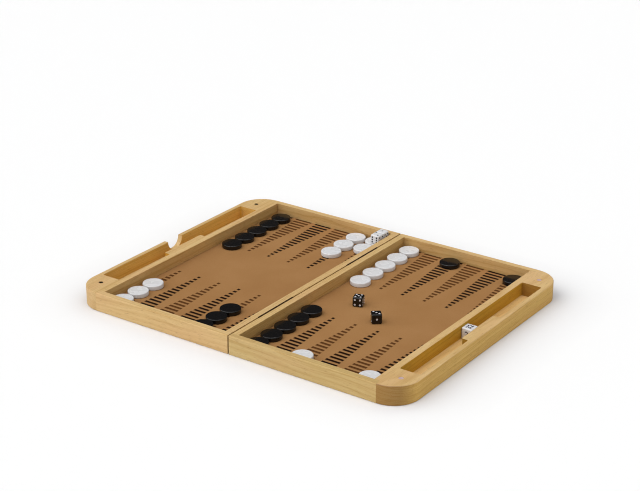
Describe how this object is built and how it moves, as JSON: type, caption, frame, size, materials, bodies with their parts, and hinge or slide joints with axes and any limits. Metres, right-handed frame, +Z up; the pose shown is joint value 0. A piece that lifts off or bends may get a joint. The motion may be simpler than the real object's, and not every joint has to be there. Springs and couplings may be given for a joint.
{
  "type": "folding backgammon board",
  "caption": "Folding wooden backgammon board lying open: two hinged trays with inlaid fields, end troughs, loose checkers, dice and a doubling cube.",
  "frame": {"origin": "on the surface that the board lies on, under the hinge line, at mid length: the centre of the base of its box", "axes": "+X across both trays from the left tray, with the thumb notch, to the right one; +Y along the hinge line, from the front rails to the back rails; +Z up"},
  "size_m": [0.487, 0.381, 0.0288],
  "materials": {
    "oak": "satin lacquer over straight grain",
    "field": "matt tan sheet with engraved, burnt bars",
    "magnets": "nickel plated",
    "hinge_metal": "antique brown",
    "black_checkers": "polished",
    "white_checkers": "polished",
    "black_dice": "polished, white pips",
    "white_dice": "polished, black pips",
    "doubling_cube": "polished, dark numbers"
  },
  "bodies": {
    "right_tray": {"right_back_rail": "oak", "right_base_panel": "oak", "right_end_block": "oak", "right_field": "field", "right_front_rail": "oak", "right_hinge_leaves": "hinge_metal", "right_hinge_rail": "oak", "right_hinge_screws": "hinge_metal", "right_magnets": "magnets", "hinge_pins": "hinge_metal"},
    "left_tray": {"left_back_rail": "oak", "left_base_panel": "oak", "left_end_block": "oak", "left_field": "field", "left_front_rail": "oak", "left_hinge_leaves": "hinge_metal", "left_hinge_rail": "oak", "left_hinge_screws": "hinge_metal", "left_magnets": "magnets"},
    "black_checker_1": {"black_checker_1": "black_checkers"},
    "black_checker_10": {"black_checker_10": "black_checkers"},
    "black_checker_11": {"black_checker_11": "black_checkers"},
    "black_checker_12": {"black_checker_12": "black_checkers"},
    "black_checker_13": {"black_checker_13": "black_checkers"},
    "black_checker_14": {"black_checker_14": "black_checkers"},
    "black_checker_15": {"black_checker_15": "black_checkers"},
    "black_checker_2": {"black_checker_2": "black_checkers"},
    "black_checker_3": {"black_checker_3": "black_checkers"},
    "black_checker_4": {"black_checker_4": "black_checkers"},
    "black_checker_5": {"black_checker_5": "black_checkers"},
    "black_checker_6": {"black_checker_6": "black_checkers"},
    "black_checker_7": {"black_checker_7": "black_checkers"},
    "black_checker_8": {"black_checker_8": "black_checkers"},
    "black_checker_9": {"black_checker_9": "black_checkers"},
    "black_die_1": {"black_die_1": "black_dice"},
    "black_die_2": {"black_die_2": "black_dice"},
    "doubling_cube": {"doubling_cube": "doubling_cube"},
    "white_checker_1": {"white_checker_1": "white_checkers"},
    "white_checker_10": {"white_checker_10": "white_checkers"},
    "white_checker_11": {"white_checker_11": "white_checkers"},
    "white_checker_12": {"white_checker_12": "white_checkers"},
    "white_checker_13": {"white_checker_13": "white_checkers"},
    "white_checker_14": {"white_checker_14": "white_checkers"},
    "white_checker_15": {"white_checker_15": "white_checkers"},
    "white_checker_2": {"white_checker_2": "white_checkers"},
    "white_checker_3": {"white_checker_3": "white_checkers"},
    "white_checker_4": {"white_checker_4": "white_checkers"},
    "white_checker_5": {"white_checker_5": "white_checkers"},
    "white_checker_6": {"white_checker_6": "white_checkers"},
    "white_checker_7": {"white_checker_7": "white_checkers"},
    "white_checker_8": {"white_checker_8": "white_checkers"},
    "white_checker_9": {"white_checker_9": "white_checkers"},
    "white_die_1": {"white_die_1": "white_dice"},
    "white_die_2": {"white_die_2": "white_dice"}
  },
  "joints": [
    {"name": "fold", "type": "hinge", "parent": "right_tray", "child": "left_tray", "pos_m": [0, 0, 0.02485], "axis": [0, 1, 0], "range_deg": [0, 180]},
    {"name": "lift_black_checker_1", "type": "slide", "parent": "left_tray", "child": "black_checker_1", "axis": [0, 0, 1], "range_m": [0, 0.06]},
    {"name": "lift_black_checker_10", "type": "slide", "parent": "right_tray", "child": "black_checker_10", "axis": [0, 0, 1], "range_m": [0, 0.06]},
    {"name": "lift_black_checker_11", "type": "slide", "parent": "right_tray", "child": "black_checker_11", "axis": [0, 0, 1], "range_m": [0, 0.06]},
    {"name": "lift_black_checker_12", "type": "slide", "parent": "right_tray", "child": "black_checker_12", "axis": [0, 0, 1], "range_m": [0, 0.06]},
    {"name": "lift_black_checker_13", "type": "slide", "parent": "right_tray", "child": "black_checker_13", "axis": [0, 0, 1], "range_m": [0, 0.06]},
    {"name": "lift_black_checker_14", "type": "slide", "parent": "right_tray", "child": "black_checker_14", "axis": [0, 0, 1], "range_m": [0, 0.06]},
    {"name": "lift_black_checker_15", "type": "slide", "parent": "right_tray", "child": "black_checker_15", "axis": [0, 0, 1], "range_m": [0, 0.06]},
    {"name": "lift_black_checker_2", "type": "slide", "parent": "left_tray", "child": "black_checker_2", "axis": [0, 0, 1], "range_m": [0, 0.06]},
    {"name": "lift_black_checker_3", "type": "slide", "parent": "left_tray", "child": "black_checker_3", "axis": [0, 0, 1], "range_m": [0, 0.06]},
    {"name": "lift_black_checker_4", "type": "slide", "parent": "left_tray", "child": "black_checker_4", "axis": [0, 0, 1], "range_m": [0, 0.06]},
    {"name": "lift_black_checker_5", "type": "slide", "parent": "left_tray", "child": "black_checker_5", "axis": [0, 0, 1], "range_m": [0, 0.06]},
    {"name": "lift_black_checker_6", "type": "slide", "parent": "left_tray", "child": "black_checker_6", "axis": [0, 0, 1], "range_m": [0, 0.06]},
    {"name": "lift_black_checker_7", "type": "slide", "parent": "left_tray", "child": "black_checker_7", "axis": [0, 0, 1], "range_m": [0, 0.06]},
    {"name": "lift_black_checker_8", "type": "slide", "parent": "left_tray", "child": "black_checker_8", "axis": [0, 0, 1], "range_m": [0, 0.06]},
    {"name": "lift_black_checker_9", "type": "slide", "parent": "right_tray", "child": "black_checker_9", "axis": [0, 0, 1], "range_m": [0, 0.06]},
    {"name": "lift_black_die_1", "type": "slide", "parent": "right_tray", "child": "black_die_1", "axis": [0, 0, 1], "range_m": [0, 0.06]},
    {"name": "lift_black_die_2", "type": "slide", "parent": "right_tray", "child": "black_die_2", "axis": [0, 0, 1], "range_m": [0, 0.06]},
    {"name": "lift_doubling_cube", "type": "slide", "parent": "right_tray", "child": "doubling_cube", "axis": [0, 0, 1], "range_m": [0, 0.06]},
    {"name": "lift_white_checker_1", "type": "slide", "parent": "left_tray", "child": "white_checker_1", "axis": [0, 0, 1], "range_m": [0, 0.06]},
    {"name": "lift_white_checker_10", "type": "slide", "parent": "right_tray", "child": "white_checker_10", "axis": [0, 0, 1], "range_m": [0, 0.06]},
    {"name": "lift_white_checker_11", "type": "slide", "parent": "right_tray", "child": "white_checker_11", "axis": [0, 0, 1], "range_m": [0, 0.06]},
    {"name": "lift_white_checker_12", "type": "slide", "parent": "right_tray", "child": "white_checker_12", "axis": [0, 0, 1], "range_m": [0, 0.06]},
    {"name": "lift_white_checker_13", "type": "slide", "parent": "right_tray", "child": "white_checker_13", "axis": [0, 0, 1], "range_m": [0, 0.06]},
    {"name": "lift_white_checker_14", "type": "slide", "parent": "right_tray", "child": "white_checker_14", "axis": [0, 0, 1], "range_m": [0, 0.06]},
    {"name": "lift_white_checker_15", "type": "slide", "parent": "right_tray", "child": "white_checker_15", "axis": [0, 0, 1], "range_m": [0, 0.06]},
    {"name": "lift_white_checker_2", "type": "slide", "parent": "left_tray", "child": "white_checker_2", "axis": [0, 0, 1], "range_m": [0, 0.06]},
    {"name": "lift_white_checker_3", "type": "slide", "parent": "left_tray", "child": "white_checker_3", "axis": [0, 0, 1], "range_m": [0, 0.06]},
    {"name": "lift_white_checker_4", "type": "slide", "parent": "left_tray", "child": "white_checker_4", "axis": [0, 0, 1], "range_m": [0, 0.06]},
    {"name": "lift_white_checker_5", "type": "slide", "parent": "left_tray", "child": "white_checker_5", "axis": [0, 0, 1], "range_m": [0, 0.06]},
    {"name": "lift_white_checker_6", "type": "slide", "parent": "left_tray", "child": "white_checker_6", "axis": [0, 0, 1], "range_m": [0, 0.06]},
    {"name": "lift_white_checker_7", "type": "slide", "parent": "left_tray", "child": "white_checker_7", "axis": [0, 0, 1], "range_m": [0, 0.06]},
    {"name": "lift_white_checker_8", "type": "slide", "parent": "left_tray", "child": "white_checker_8", "axis": [0, 0, 1], "range_m": [0, 0.06]},
    {"name": "lift_white_checker_9", "type": "slide", "parent": "right_tray", "child": "white_checker_9", "axis": [0, 0, 1], "range_m": [0, 0.06]},
    {"name": "lift_white_die_1", "type": "slide", "parent": "white_checker_7", "child": "white_die_1", "axis": [0, 0, 1], "range_m": [0, 0.06]},
    {"name": "lift_white_die_2", "type": "slide", "parent": "white_checker_7", "child": "white_die_2", "axis": [0, 0, 1], "range_m": [0, 0.06]}
  ]
}
